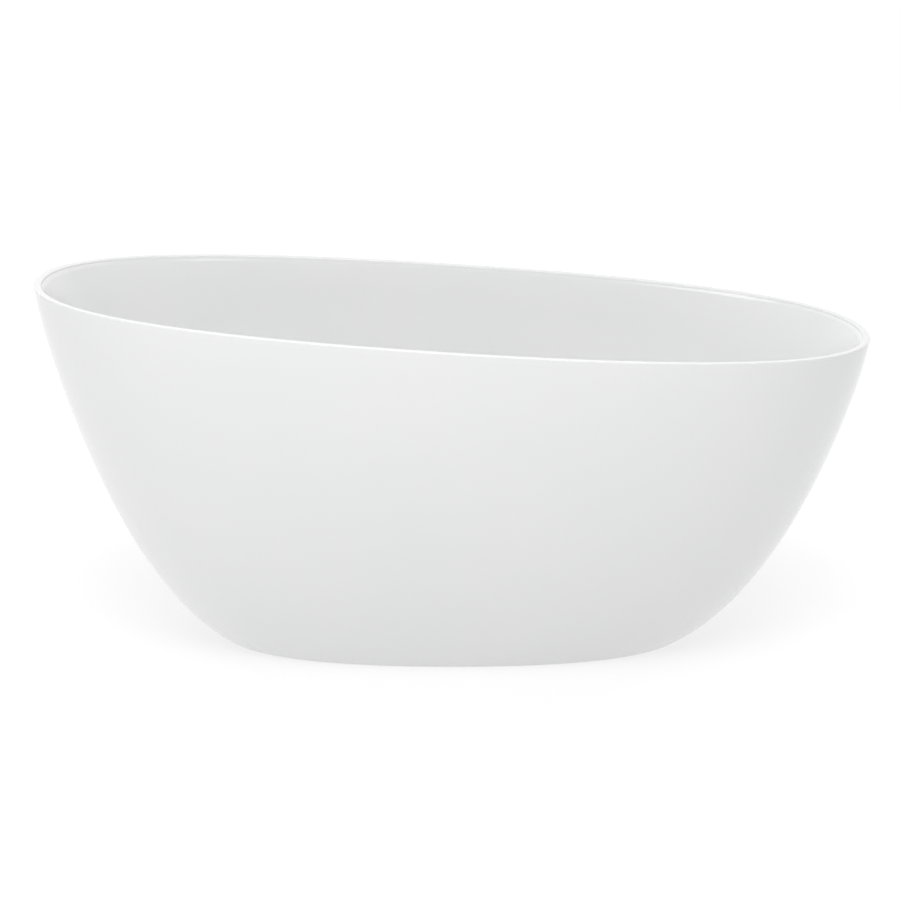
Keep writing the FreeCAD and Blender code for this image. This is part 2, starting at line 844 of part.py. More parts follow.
node("drain_top_gasket", at_drain(ring("drain_top_gasket", "drain_hole - gasket_inset", "drain_flange_radius",
                                       "drain_seat", "flange_bottom")))
node("drain_flange", at_drain(turned("drain_flange", [
    ("throat", "neck_bottom"),
    ("throat + neck_wall", "neck_bottom"),
    ("throat + neck_wall", "flange_bottom"),
    ("drain_flange_radius", "flange_bottom"),
    ("drain_flange_radius - drain_flange_depth / 2", "flange_top"),
    ("throat + neck_wall", "flange_top"),
    ("throat", "flange_bottom"),
])))
node("drain_under_gasket", at_drain(ring("drain_under_gasket", "drain_hole - gasket_inset", "seat_radius",
                                         "drain_body_top", "basin_underside")))
node("drain_body", make_drain_body())

# ---------------------------------------------------------------- press plug and its cartridge


def make_cartridge():
    """A guide tube held in the flange's throat by a ring on three spokes."""
    guide = at_drain(turned("cartridge_guide", [
        ("stem_radius + running", "housing_bottom"),
        ("housing_bore + housing_wall", "housing_bottom"),
        ("housing_bore + housing_wall", "cage_top"),
        ("housing_bore", "cage_top"),
        ("housing_bore", "spring_bottom"),
        ("stem_radius + running", "spring_bottom"),
    ]))
    rim = at_drain(ring("cartridge_ring", "throat - cage_ring", "throat - running", "cage_top - cage_ring",
                        "cage_top"))
    spokes = []
    for i in range(3):
        spoke = block(f"cartridge_spoke_{i}", "throat - spoke_short - housing_bore - housing_wall / 2",
                      "spoke_width", "cage_ring", "0", "0", "0")
        angle = 60 + 120 * i
        out = "(housing_bore + housing_wall / 2)"
        spoke.Placement = FreeCAD.Placement(V(0, 0, 0), FreeCAD.Rotation(V(0, 0, 1), angle))
        c, s = round(math.cos(math.radians(angle)), 6), round(math.sin(math.radians(angle)), 6)
        placed(spoke, f"drain_place + {c} * {out} + {s} * spoke_width / 2",
               f"{s} * {out} - {c} * spoke_width / 2", "cage_top - cage_ring")
        spokes.append(spoke)
    return fused("plug_cartridge", [guide, rim] + spokes)


def make_spring():
    """An open coil between the cartridge's floor and the stem's collar."""
    helix = doc.addObject("Part::Helix", "spring_line")
    helix.setExpression("Radius", bound("spring_radius"))
    helix.setExpression("Height", bound("spring_length - 2 * spring_wire"))
    helix.setExpression("Pitch", bound("(spring_length - 2 * spring_wire) / spring_turns"))
    wire = doc.addObject("Part::Circle", "spring_wire_section")
    wire.setExpression("Radius", bound("spring_wire"))
    wire.Placement = FreeCAD.Placement(V(0, 0, 0), FreeCAD.Rotation(V(1, 0, 0), 90))
    wire.setExpression("Placement.Base.x", bound("spring_radius"))
    coil = doc.addObject("Part::Sweep", "plug_spring")
    coil.Sections = [wire]
    coil.Spine = (helix, ["Edge1"])
    coil.Solid = True
    coil.Frenet = True
    return placed(coil, "drain_place", "0", "spring_bottom + spring_wire")


node("plug_cartridge", make_cartridge())
node("plug_spring", make_spring())
node("plug_stem", at_drain(turned("plug_stem", [
    ("0", "stem_top - stem_length"),
    ("stem_radius", "stem_top - stem_length"),
    ("stem_radius", "collar_bottom"),
    ("collar_radius", "collar_bottom"),
    ("collar_radius", "collar_bottom + collar_depth"),
    ("stem_radius", "collar_bottom + collar_depth"),
    ("stem_radius", "stem_top"),
    ("0", "stem_top"),
])))
node("plug_seal", at_drain(ring("plug_seal", "stem_radius", "seal_radius", "flange_top", "cap_bottom")))
node("plug_cap", at_drain(turned("plug_cap", [
    ("stem_radius", "cap_bottom"),
    ("cap_radius", "cap_bottom"),
    ("cap_radius", "cap_bottom + cap_edge"),
    ("cap_shoulder", "cap_bottom + shoulder_rise"),
    ("0", "cap_bottom + cap_depth"),
    ("0", "stem_top"),
    ("stem_radius", "stem_top"),
])))

# ---------------------------------------------------------------- trap


def make_trap_head():
    """Top half of the trap: inlet collar, dip tube and the outlet's socket."""
    outline = [
        ("body_tube - body_tube_wall", "dip_bottom"),
        ("body_tube", "dip_bottom"),
        ("body_tube", "trap_top - trap_wall"),
        ("trap_radius - trap_wall", "trap_top - trap_wall"),
        ("trap_radius - trap_wall", "trap_skirt_bottom"),
        ("trap_radius", "trap_skirt_bottom"),
        ("trap_radius", "trap_top"),
        ("trap_collar_bore + collar_wall", "trap_top"),
        ("trap_collar_bore + collar_wall", "trap_top + collar_height"),
        ("trap_collar_bore", "trap_top + collar_height"),
        ("trap_collar_bore", "trap_top"),
        ("body_tube - body_tube_wall", "trap_top"),
    ]
    head = at_drain(turned("trap_head_shell", outline))
    reach = "socket_reach - trap_radius + trap_wall"
    socket = along_x(rod("trap_head_socket", "outlet_radius + running + socket_wall", reach),
                     "drain_place - socket_reach", "0", "outlet_height")
    bore = along_x(rod("trap_head_bore", "outlet_radius + running", reach + " + 2"),
                   "drain_place - socket_reach - 1", "0", "outlet_height")
    return cut("trap_head", fused("trap_head_solid", [head, socket]), [bore])


node("trap_head", make_trap_head())
node("trap_cup", at_drain(turned("trap_cup", [
    ("0", "cup_bottom"),
    ("trap_radius + running + cup_wall", "cup_bottom"),
    ("trap_radius + running + cup_wall", "cup_top"),
    ("trap_radius + running", "cup_top"),
    ("trap_radius + running", "cup_bottom + trap_wall"),
    ("0", "cup_bottom + trap_wall"),
])))
node("trap_seal", at_drain(ring("trap_seal", "body_tube", "trap_collar_bore + collar_wall",
                                "trap_top + collar_height", "trap_top + collar_height + trap_seal_depth")))
node("trap_nut", at_drain(turned("trap_nut", [
    ("trap_collar_bore + collar_wall + running", "trap_nut_bottom"),
    ("trap_collar_bore + collar_wall + nut_wall", "trap_nut_bottom"),
    ("trap_collar_bore + collar_wall + nut_wall", "trap_nut_top"),
    ("trap_collar_bore", "trap_nut_top"),
    ("trap_collar_bore", "trap_nut_top - nut_lip"),
    ("trap_collar_bore + collar_wall + running", "trap_nut_top - nut_lip"),
])))


def at_outlet(item):
    """Pieces on the outlet are turned about the pipe, measured from the end of the trap's socket."""
    return along_x(item, "drain_place - socket_reach", "0", "outlet_height")


node("outlet_pipe", at_outlet(turned("outlet_pipe", [
    ("outlet_radius - outlet_wall", "pipe_start"),
    ("outlet_radius", "pipe_start"),
    ("outlet_radius", "pipe_start + outlet_push"),
    ("outlet_radius + stop_rise", "pipe_start + outlet_push"),
    ("outlet_radius + stop_rise", "pipe_start + outlet_push + stop_width"),
    ("outlet_radius", "pipe_start + outlet_push + stop_width"),
    ("outlet_radius", "pipe_stop"),
    ("outlet_radius - outlet_wall", "pipe_stop"),
])))
node("outlet_seal", at_outlet(ring("outlet_seal", "outlet_radius", "socket_radius", "0 - trap_seal_depth",
                                   "0")))
node("outlet_nut", at_outlet(turned("outlet_nut", [
    ("outlet_radius + running", "0 - trap_seal_depth - nut_lip"),
    ("socket_radius + nut_wall", "0 - trap_seal_depth - nut_lip"),
    ("socket_radius + nut_wall", "outlet_nut_cover"),
    ("socket_radius + running", "outlet_nut_cover"),
    ("socket_radius + running", "0 - trap_seal_depth"),
    ("outlet_radius + running", "0 - trap_seal_depth"),
])))

# ---------------------------------------------------------------- overflow


def make_elbow():
    """A short cup behind the wall with a spigot that points down along it."""
    bore = "ring_tube + running"
    wall = "ring_tube + running + elbow_wall"
    cup = turned("elbow_cup", [
        ("0", "0 - elbow_depth"),
        (wall, "0 - elbow_depth"),
        (wall, "elbow_top - elbow_wall"),
        ("elbow_flange", "elbow_top - elbow_wall"),
        ("elbow_flange", "elbow_top"),
        (bore, "elbow_top"),
        (bore, "elbow_wall - elbow_depth"),
        ("0", "elbow_wall - elbow_depth"),
    ])
    spigot = along_x(rod("elbow_spigot", "spigot_radius", f"spigot_reach - ({bore} + elbow_wall / 2)"),
                     "0 - spigot_reach", "0", "0 - spigot_place")
    drill = along_x(rod("elbow_drill", "spigot_radius - spigot_wall", "spigot_reach + 1"),
                    "0 - spigot_reach - 1", "0", "0 - spigot_place")
    return on_wall(cut("overflow_elbow", fused("elbow_solid", [cup, spigot]), [drill]))


node("overflow_gasket", on_wall(ring("overflow_gasket", "overflow_hole - gasket_inset / 2", "elbow_flange",
                                     "elbow_top", "0")))
node("overflow_elbow", make_elbow())
node("overflow_ring", on_wall(turned("overflow_ring", [
    ("ring_tube - ring_tube_wall", "0 - ring_tube_reach"),
    ("ring_tube", "0 - ring_tube_reach"),
    ("ring_tube", "overflow_seat_in"),
    ("ring_radius", "overflow_seat_in"),
    ("ring_radius", "ring_top"),
    ("ring_tube - ring_tube_wall", "ring_top"),
])))


def make_cover():
    """A round cap clipped over the ring, with the water's way in cut through its lower side."""
    cap = turned("cover_cap", [
        ("0", "ring_top + cover_depth - cover_skin"),
        ("ring_radius + running", "ring_top + cover_depth - cover_skin"),
        ("ring_radius + running", "cover_bottom"),
        ("cover_radius - cover_skin / 2", "cover_bottom"),
        ("cover_radius", "cover_bottom + cover_skin / 2"),
        ("cover_radius", "ring_top + cover_depth - cover_skin"),
        ("cover_radius - cover_skin", "ring_top + cover_depth"),
        ("0", "ring_top + cover_depth"),
    ])
    notch = block("cover_notch", "cover_radius", "cover_slot", "cover_depth - cover_skin",
                  "0 - cover_radius - 1", "0 - cover_slot / 2", "ring_top")
    return on_wall(cut("overflow_cover", cap, [notch]))


node("overflow_cover", make_cover())


def gap_middle(height):
    """The point midway between the two shells at the foot end at this height."""
    inner = foot_profile_at(skin_rings, height)[0]
    outer = foot_profile_at(outer_rings, height)[0] - size("shell_wall")
    return V((inner + outer) / 2, 0, height)


def hose_corners():
    """Level out of the waste, up the middle of the gap at the foot end, and straight into the elbow."""
    start = V(number("hose_start"), 0, number("inlet_height"))
    top = overflow_point(number("hose_overlap - spigot_reach"), -size("spigot_place"))
    below = overflow_point(number("hose_overlap - spigot_reach - hose_top_run"), -size("spigot_place"))
    middle = gap_middle(size("hose_middle"))
    lower = gap_middle(size("hose_lower"))
    climb = (middle.x - lower.x) / (middle.z - lower.z)
    corner = V(middle.x - climb * (middle.z - start.z), 0, start.z)
    return [start, corner, middle, below, top]


def rounded_line(corners, radii):
    """Straight runs between the corners, joined by arcs of these radii that touch both runs."""
    runs = []
    here = corners[0]
    for before, corner, after, radius in zip(corners, corners[1:], corners[2:], radii):
        inward = (before - corner).normalize()
        onward = (after - corner).normalize()
        half = inward.getAngle(onward) / 2
        reach = radius / math.tan(half)
        enter, leave = corner + inward * reach, corner + onward * reach
        centre = corner + (inward + onward).normalize() * (radius / math.sin(half))
        middle = centre + (corner - centre).normalize() * radius
        runs += [Part.LineSegment(here, enter), Part.Arc(enter, middle, leave)]
        here = leave
    runs.append(Part.LineSegment(here, corners[-1]))
    return Part.Wire([run.toShape() for run in runs])


def hose_line():
    return rounded_line(hose_corners(), [size("hose_bend"), size("hose_middle_bend"), size("hose_top_bend")])


def tube_along(line, radius):
    start = line.Vertexes[0].Point
    section = Part.Wire(Part.makeCircle(radius, start, V(1, 0, 0)))
    return line.makePipeShell([section], True, True)


def make_hose():
    line = hose_line()
    bore = size("spigot_radius") + size("running")
    hose = tube_along(line, size("hose_radius")).cut(tube_along(line, bore))
    section = math.pi * (size("hose_radius") ** 2 - bore ** 2)
    if abs(hose.Volume / section / line.Length - 1) > TOUCH:
        raise RuntimeError("the hose is pinched in a bend")
    print("hose length", round(line.Length, 1))
    return hose


def clamp(label):
    return ring(label, "hose_radius", "hose_radius + clamp_wall", "0", "clamp_length")


node("overflow_hose", shape_feature("overflow_hose", make_hose()))
node("hose_clamp_low", along_x(clamp("hose_clamp_low"), "hose_start + clamp_low_place", "0", "inlet_height"))
top_clamp = clamp("hose_clamp_top")
clamp_turn = FreeCAD.Rotation(V(0, 1, 0), size("overflow_lean"))
clamp_place = overflow_point(number("clamp_top_place - spigot_reach"), -size("spigot_place"))
top_clamp.Placement = FreeCAD.Placement(clamp_place, clamp_turn)
node("hose_clamp_top", top_clamp)

# ---------------------------------------------------------------- check and write

doc.recompute()
broken = [item.Label for item in doc.Objects if "Invalid" in item.State or "Error" in item.State]
if broken:
    raise RuntimeError("failed objects: " + ", ".join(broken))
for item in nodes:
    if item.Shape.isNull() or not item.Shape.isValid() or not item.Shape.Solids:
        raise RuntimeError("bad shape: " + item.Label)
for item in nodes:
    item.Shape.exportStep(f"parts/{item.Label}.step")
print(len(nodes), "nodes written")
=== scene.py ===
import json
import math

import bmesh
import bpy
from mathutils import Matrix, Vector

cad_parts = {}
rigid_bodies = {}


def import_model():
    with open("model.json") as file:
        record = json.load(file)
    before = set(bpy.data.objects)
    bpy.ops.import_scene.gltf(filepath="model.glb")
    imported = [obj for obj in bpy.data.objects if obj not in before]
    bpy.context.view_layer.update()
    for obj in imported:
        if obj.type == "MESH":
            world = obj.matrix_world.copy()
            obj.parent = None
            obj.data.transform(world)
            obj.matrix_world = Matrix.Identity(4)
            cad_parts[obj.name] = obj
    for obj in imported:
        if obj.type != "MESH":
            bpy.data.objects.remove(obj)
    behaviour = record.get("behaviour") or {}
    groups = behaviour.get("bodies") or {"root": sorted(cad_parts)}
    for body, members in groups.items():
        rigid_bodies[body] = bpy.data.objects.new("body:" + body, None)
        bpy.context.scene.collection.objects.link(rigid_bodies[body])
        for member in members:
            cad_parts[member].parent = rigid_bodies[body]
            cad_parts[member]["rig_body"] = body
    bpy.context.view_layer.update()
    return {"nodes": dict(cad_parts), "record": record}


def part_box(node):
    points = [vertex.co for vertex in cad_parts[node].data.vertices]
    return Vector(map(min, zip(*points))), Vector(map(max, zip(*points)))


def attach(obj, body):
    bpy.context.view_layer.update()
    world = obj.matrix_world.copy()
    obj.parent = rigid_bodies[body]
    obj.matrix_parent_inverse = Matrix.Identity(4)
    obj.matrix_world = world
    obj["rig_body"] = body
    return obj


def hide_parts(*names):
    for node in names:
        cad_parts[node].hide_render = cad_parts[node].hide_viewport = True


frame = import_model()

# A freestanding oval slipper bath. Metres, in the row frame: +Z up, +X to the low rim and the waste.

nodes = frame["nodes"]
slot_of = {part["node"]: part["material_slot"] for part in frame["record"]["subparts"]}
MM = 0.001

# ---------------------------------------------------------------- sizes of the two shells, as in the CAD

RIM_A, RIM_B = 0.800, 0.370
BASE_A, BASE_B = 0.465, 0.240
RIM_HEIGHT, RIM_RISE = 0.650, 0.052
BELLY_LOW = (0.631, 0.191)
BELLY_HIGH = (0.993, 0.898)
FULLNESS = 0.662
SHELL_WALL, BASIN_WALL = 5 * MM, 6 * MM
LIP_DEPTH, LIP_GAP, LIP_SHARPNESS = 6 * MM, 3 * MM, 8
END_GAP, SIDE_GAP = 50 * MM, 25 * MM
UNDERSIDE, FLOOR_FALL = 126 * MM, 2 * MM
BLEND_HEIGHT, BLEND_RUN = 90 * MM, 100 * MM
FLANGE_WIDTH = 30 * MM
FOOT_ROUND = 2.5 * MM
OUTER_ROUND, INNER_ROUND = 2.5 * MM, 4 * MM
SEAT_RADIUS, SEAT_LEVEL, WASTE_HOLE = 36 * MM, 130 * MM, 26 * MM
SEAT_EASE = 0.6 * MM
OVERFLOW_SEAT, OVERFLOW_HOLE, SEAT_SHARE = 34 * MM, 22 * MM, 0.8
OVERFLOW_AXIS = Vector((-0.9002, 0, 0.4355)).normalized()
OVERFLOW_GASKET = 3 * MM
CROWN = 0.25 * MM
FEET = 5

# How finely the rings are divided: around the oval, up the wall, up the floor's curve, round a corner,
# under the floor and over it.
AROUND = 256
WALL_RINGS = 56
BLEND_RINGS = 16
ROUND_STEPS, CROWN_STEPS, EASE_STEPS = 5, 3, 4
UNDER_RINGS, FLOOR_RINGS = 8, 10
TURN_STEPS, PAD_STEPS = 96, 72
HALVINGS = 40
SHARP = 35
WELD, TINY = 1e-7, 1e-6


def mix(p, q, t):
    return p + (q - p) * t


def belly(share):
    """Growth of the plan (0 base, 1 rim) and height share, along the shell's side curve."""
    a = 3 * share * (1 - share) ** 2
    b = 3 * share ** 2 * (1 - share)
    c = share ** 3
    return a * BELLY_LOW[0] + b * BELLY_HIGH[0] + c, a * BELLY_LOW[1] + b * BELLY_HIGH[1] + c


def outline():
    """The oval's plan as (x, y) shares of its half length and half width: four Bezier quarters."""
    quarter = []
    steps = AROUND // 4
    for i in range(steps):
        t = i / steps
        k0, k1, k2, k3 = (1 - t) ** 3, 3 * t * (1 - t) ** 2, 3 * t ** 2 * (1 - t), t ** 3
        quarter.append((k0 + k1 + k2 * FULLNESS, k1 * FULLNESS + k2 + k3))
    points = list(quarter)
    for turn in range(1, 4):
        sign_x = (1, -1, -1, 1)[turn]
        sign_y = (1, 1, -1, -1)[turn]
        mirrored = quarter if turn == 2 else [(0.0, 1.0)] + list(reversed(quarter))[:-1]
        points += [(sign_x * x, sign_y * y) for x, y in mirrored]
    return points


PLAN = outline()


def oval(a, b, z, fall):
    """One ring of points: an oval on an inclined plane."""
    return [Vector((a * x, b * y, z - fall * x)) for x, y in PLAN]


def shell_sizes(share):
    growth, height = belly(share)
    half_length = mix(BASE_A, RIM_A, growth)
    half_width = mix(BASE_B, RIM_B, growth)
    return half_length, half_width, height * RIM_HEIGHT, height * RIM_RISE


def solve(test, low=0.0, high=1.0):
    """Where a rising test crosses from false to true."""
    for _ in range(HALVINGS):
        middle = (low + high) / 2
        if test(middle):
            high = middle
        else:
            low = middle
    return low


def share_at(height):
    return solve(lambda share: belly(share)[1] * RIM_HEIGHT >= height)


def shell_point(index, share):
    a, b, z, fall = shell_sizes(share)
    x, y = PLAN[index]
    return Vector((a * x, b * y, z - fall * x))


def rim_level(x):
    return RIM_HEIGHT - RIM_RISE * x / RIM_A


def wall_gap(gap, height_share):
    return LIP_GAP + (gap - LIP_GAP) * (1 - height_share ** LIP_SHARPNESS)


FLOOR_LEVEL = UNDERSIDE + BASIN_WALL + FLOOR_FALL


def basin_sizes(height, inset):
    """Half sizes, height and fall of the basin's inner face at this middle height."""
    a, b, z, fall = shell_sizes(share_at(height))
    height_share = z / RIM_HEIGHT
    walls = SHELL_WALL + BASIN_WALL
    a -= walls + wall_gap(END_GAP, height_share) + inset
    b -= walls + wall_gap(SIDE_GAP, height_share) + inset
    climb = (height - FLOOR_LEVEL) / (RIM_HEIGHT - FLOOR_LEVEL)
    fall = mix(FLOOR_FALL, RIM_RISE, climb)
    fall += climb ** LIP_SHARPNESS * RIM_RISE * (a / RIM_A - 1)
    return a, b, height, fall


def basin_wall_sizes():
    """Sizes of every ring of the basin's inner face, from the floor's edge up to the rim."""
    sizes = []
    for i in range(BLEND_RINGS + 1):
        turn = math.pi / 2 * i / BLEND_RINGS
        lift = BLEND_HEIGHT * (1 - math.cos(turn))
        inset = BLEND_RUN * (1 - math.sin(turn))
        sizes.append(basin_sizes(FLOOR_LEVEL + lift, inset))
    start = share_at(FLOOR_LEVEL + BLEND_HEIGHT)
    for i in range(1, WALL_RINGS + 1):
        share = mix(start, 1, i / WALL_RINGS)
        sizes.append(basin_sizes(belly(share)[1] * RIM_HEIGHT, 0))
    return sizes


def grown(sizes, distance):
    """The same rings moved along the wall's normal, outwards when distance is positive."""
    moved = []
    for i, (a, b, z, fall) in enumerate(sizes):
        before = sizes[max(i - 1, 0)]
        after = sizes[min(i + 1, len(sizes) - 1)]
        out = (after[0] + after[1] - before[0] - before[1]) / 2
        up = after[2] - before[2]
        length = math.hypot(out, up)
        step = distance * up / length
        moved.append((a + step, b + step, z - distance * out / length, fall))
    return moved


# ---------------------------------------------------------------- mesh helpers


def ring_faces(count, around, closed):
    faces = []
    last = count if closed else count - 1
    for i in range(last):
        j = (i + 1) % count
        for k in range(around):
            m = (k + 1) % around
            faces.append((i * around + k, i * around + m, j * around + m, j * around + k))
    return faces


def smooth(mesh, sharp=SHARP):
    mesh.shade_smooth()
    mesh.set_sharp_from_angle(angle=math.radians(sharp))


def add_piece(name, mesh, body, slot, replaced, sharp=SHARP):
    """Link a mesh as a piece that rides on a body, with its slot's material and the nodes it stands for."""
    smooth(mesh, sharp)
    piece = bpy.data.objects.new(name, mesh)
    bpy.context.scene.collection.objects.link(piece)
    mesh.materials.clear()
    mesh.materials.append(finish_of(slot))
    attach(piece, body)
    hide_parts(*replaced)
    return piece


def mesh_from(name, points, faces):
    """A welded mesh with its faces turned outwards."""
    mesh = bpy.data.meshes.new(name)
    mesh.from_pydata([tuple(p) for p in points], [], faces)
    shape = bmesh.new()
    shape.from_mesh(mesh)
    bmesh.ops.remove_doubles(shape, verts=shape.verts, dist=WELD)
    bmesh.ops.recalc_face_normals(shape, faces=shape.faces)
    shape.to_mesh(mesh)
    shape.free()
    return mesh


def mesh_through(name, rings):
    """A quad mesh through rings of equal count, closed on itself like a swept loop."""
    points = [p for ring in rings for p in ring]
    return mesh_from(name, points, ring_faces(len(rings), len(rings[0]), True))


def bend(start, corner, end, steps=ROUND_STEPS):
    """Points strictly between start and end on the curve that rounds this corner."""
    points = []
    for i in range(1, steps):
        t = i / steps
        points.append(mix(mix(start, corner, t), mix(corner, end, t), t))
    return points


def bend_rings(start, corner, end, steps=ROUND_STEPS):
    columns = [bend(s, c, e, steps) for s, c, e in zip(start, corner, end)]
    return [list(ring) for ring in zip(*columns)]


def between(ring, other, t):
    return [mix(p, q, t) for p, q in zip(ring, other)]


def toward(ring, other, distance):
    """Each point moved this far towards its partner."""
    return [p + (q - p).normalized() * distance for p, q in zip(ring, other)]


def eased(profile, radius):
    """A closed profile of (radius, height) corners with each one rounded, apart from those on the axis."""
    points = []
    count = len(profile)
    for i, (r, z) in enumerate(profile):
        here = Vector((r, z))
        before, after = Vector(profile[i - 1]), Vector(profile[(i + 1) % count])
        shorter = min((before - here).length, (after - here).length)
        reach = min(radius, shorter * 0.45)
        if r < TINY or reach < TINY:
            points.append(here)
            continue
        start = here + (before - here).normalized() * reach
        end = here + (after - here).normalized() * reach
        points += [start] + bend(start, here, end, EASE_STEPS) + [end]
    return points


def around_axis(radius, z, angle):
    return Vector((radius * math.cos(angle), radius * math.sin(angle), z))


def turned(name, profile, place, body, slot, replaced, steps=TURN_STEPS):
    """A body of revolution: (radius, height) points about the place's own Z, in metres."""
    rings = []
    for k in range(steps):
        angle = 2 * math.pi * k / steps
        rings.append([place @ around_axis(r, z, angle) for r, z in profile])
    return add_piece(name, mesh_through(name, rings), body, slot, replaced)


def centre_of(node):
    low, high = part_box(node)
    return (low + high) / 2


def above(point):
    """A place at floor level, straight below this point."""
    return Matrix.Translation((point.x, point.y, 0))


def scaled(profile):
    """A profile written in millimetres, in metres."""
    return [(r * MM, z * MM) for r, z in profile]


def capped(name, points, count, around):
    """A mesh through open rings of points, with a flat face over each end."""
    faces = ring_faces(count, around, False)
    faces += [tuple(range(around)), tuple(range(len(points) - around, len(points)))]
    return mesh_from(name, points, faces)


# Cutting discs are turned by this share of a step, so that their corners miss the basin's own.
DISC_TURN = 0.37


def disc_tool(place, radius, low, high):
    """A cylinder to cut or add with, along the place's own Z."""
    points = []
    for z in (low, high):
        for k in range(TURN_STEPS):
            angle = 2 * math.pi * (k + DISC_TURN) / TURN_STEPS
            points.append(place @ around_axis(radius, z, angle))
    return capped("disc_tool", points, 2, TURN_STEPS)


def box_tool(place, low, high):
    """A box to cut or add with, in the place's own axes."""
    points = []
    for z in (low[2], high[2]):
        for x, y in ((low[0], low[1]), (high[0], low[1]), (high[0], high[1]), (low[0], high[1])):
            points.append(place @ Vector((x, y, z)))
    return capped("box_tool", points, 2, 4)


def carve(piece, steps):
    """Apply each (operation, tool mesh) to the piece's mesh for good."""
    tools = []
    for i, (operation, tool_mesh) in enumerate(steps):
        tool = bpy.data.objects.new(f"tool_{i}", tool_mesh)
        bpy.context.scene.collection.objects.link(tool)
        change = piece.modifiers.new(f"step_{i}", "BOOLEAN")
        change.operation = operation
        change.solver = "EXACT"
        change.object = tool
        tools.append(tool)
    bpy.context.view_layer.update()
    seen = piece.evaluated_get(bpy.context.evaluated_depsgraph_get())
    mesh = bpy.data.meshes.new_from_object(seen)
    piece.modifiers.clear()
    piece.data = mesh
    for tool in tools:
        bpy.data.objects.remove(tool)
    smooth(mesh)


def ease_edges(piece, width, angle=40):
    """Round over the edges sharper than this angle, with the flat faces shaded flat."""
    bevel = piece.modifiers.new("edges", "BEVEL")
    bevel.limit_method = "ANGLE"
    bevel.angle_limit = math.radians(angle)
    bevel.width = width
    bevel.segments = 2
    normals = piece.modifiers.new("normals", "WEIGHTED_NORMAL")
    normals.keep_sharp = True


# ---------------------------------------------------------------- procedural finishes

finishes = {}


def span(tree, source, limits):
    """A node that maps a value from limits[0]..limits[1] to limits[2]..limits[3]."""
    node = tree.nodes.new("ShaderNodeMapRange")
    for socket, value in zip(("From Min", "From Max", "To Min", "To Max"), limits):
        node.inputs[socket].default_value = value
    tree.links.new(source, node.inputs["Value"])
    return node


class Finish:
    """A node material built around one Principled shader."""

    def __init__(self, name, color, roughness, metallic=0.0):
        self.material = bpy.data.materials.new(name)
        self.material.use_nodes = True
        self.tree = self.material.node_tree
        self.shader = next(n for n in self.tree.nodes if n.type == "BSDF_PRINCIPLED")
        self.put("Base Color", (*color, 1))
        self.put("Roughness", roughness)
        self.put("Metallic", metallic)
        self.place = self.tree.nodes.new("ShaderNodeTexCoord").outputs["Object"]

    def put(self, socket, value):
        self.shader.inputs[socket].default_value = value

    def noise(self, scale, detail=3.0, stretch=None):
        node = self.tree.nodes.new("ShaderNodeTexNoise")
        node.inputs["Scale"].default_value = scale
        node.inputs["Detail"].default_value = detail
        self.tree.links.new(self.mapped(stretch), node.inputs["Vector"])
        return node.outputs["Fac"]

    def cells(self, scale, stretch=None):
        node = self.tree.nodes.new("ShaderNodeTexVoronoi")
        node.inputs["Scale"].default_value = scale
        self.tree.links.new(self.mapped(stretch), node.inputs["Vector"])
        return node.outputs["Distance"], node.outputs["Color"]

    def mapped(self, stretch):
        if stretch is None:
            return self.place
        node = self.tree.nodes.new("ShaderNodeMapping")
        node.inputs["Scale"].default_value = stretch
        self.tree.links.new(self.place, node.inputs["Vector"])
        return node.outputs["Vector"]

    def ramp(self, factor, stops):
        node = self.tree.nodes.new("ShaderNodeValToRGB")
        elements = node.color_ramp.elements
        elements[0].position, elements[1].position = stops[0][0], stops[-1][0]
        elements[0].color, elements[1].color = (*stops[0][1], 1), (*stops[-1][1], 1)
        for position, color in stops[1:-1]:
            elements.new(position).color = (*color, 1)
        self.tree.links.new(factor, node.inputs["Fac"])
        return node.outputs["Color"]

    def tint(self, factor, stops):
        self.tree.links.new(self.ramp(factor, stops), self.shader.inputs["Base Color"])

    def spread(self, factor, low, high):
        """Roughness that wanders between two values."""
        spread = span(self.tree, factor, (0, 1, low, high))
        self.tree.links.new(spread.outputs["Result"], self.shader.inputs["Roughness"])

    def by_distance(self, socket, limits):
        """Let a value grow with the distance from the frame's origin."""
        length = self.tree.nodes.new("ShaderNodeVectorMath")
        length.operation = "LENGTH"
        self.tree.links.new(self.place, length.inputs[0])
        grown_value = span(self.tree, length.outputs["Value"], limits)
        self.tree.links.new(grown_value.outputs["Result"], self.shader.inputs[socket])

    def bump(self, height, strength, distance):
        node = self.tree.nodes.new("ShaderNodeBump")
        node.inputs["Strength"].default_value = strength
        node.inputs["Distance"].default_value = distance
        self.tree.links.new(height, node.inputs["Height"])
        if self.shader.inputs["Normal"].links:
            self.tree.links.new(self.shader.inputs["Normal"].links[0].from_socket, node.inputs["Normal"])
        self.tree.links.new(node.outputs["Normal"], self.shader.inputs["Normal"])


def grey(value):
    return value, value, value


def make_acrylic():
    """White gloss sheet: a hint of cloudiness, and the faint ripple that forming leaves in the gloss."""
    f = Finish("acrylic", grey(0.8), 0.1)
    f.put("IOR", 1.49)
    f.tint(f.noise(3.5, 2), [(0.3, (0.795, 0.798, 0.802)), (0.7, (0.808, 0.808, 0.808))])
    f.spread(f.noise(9, 4), 0.09, 0.13)
    f.bump(f.noise(6, 1), 0.04, 0.004)
    f.bump(f.noise(420, 2), 0.02, 0.0002)
    return f


def make_board():
    """Pressed chips under a thin skin of resin."""
    f = Finish("board", (0.5, 0.38, 0.24), 0.55)
    distance, color = f.cells(160, (1, 0.45, 1))
    f.tint(color, [(0.15, (0.33, 0.22, 0.12)), (0.5, (0.52, 0.39, 0.23)), (0.85, (0.68, 0.55, 0.36))])
    f.spread(f.noise(60), 0.35, 0.7)
    f.bump(distance, 0.35, 0.0008)
    return f


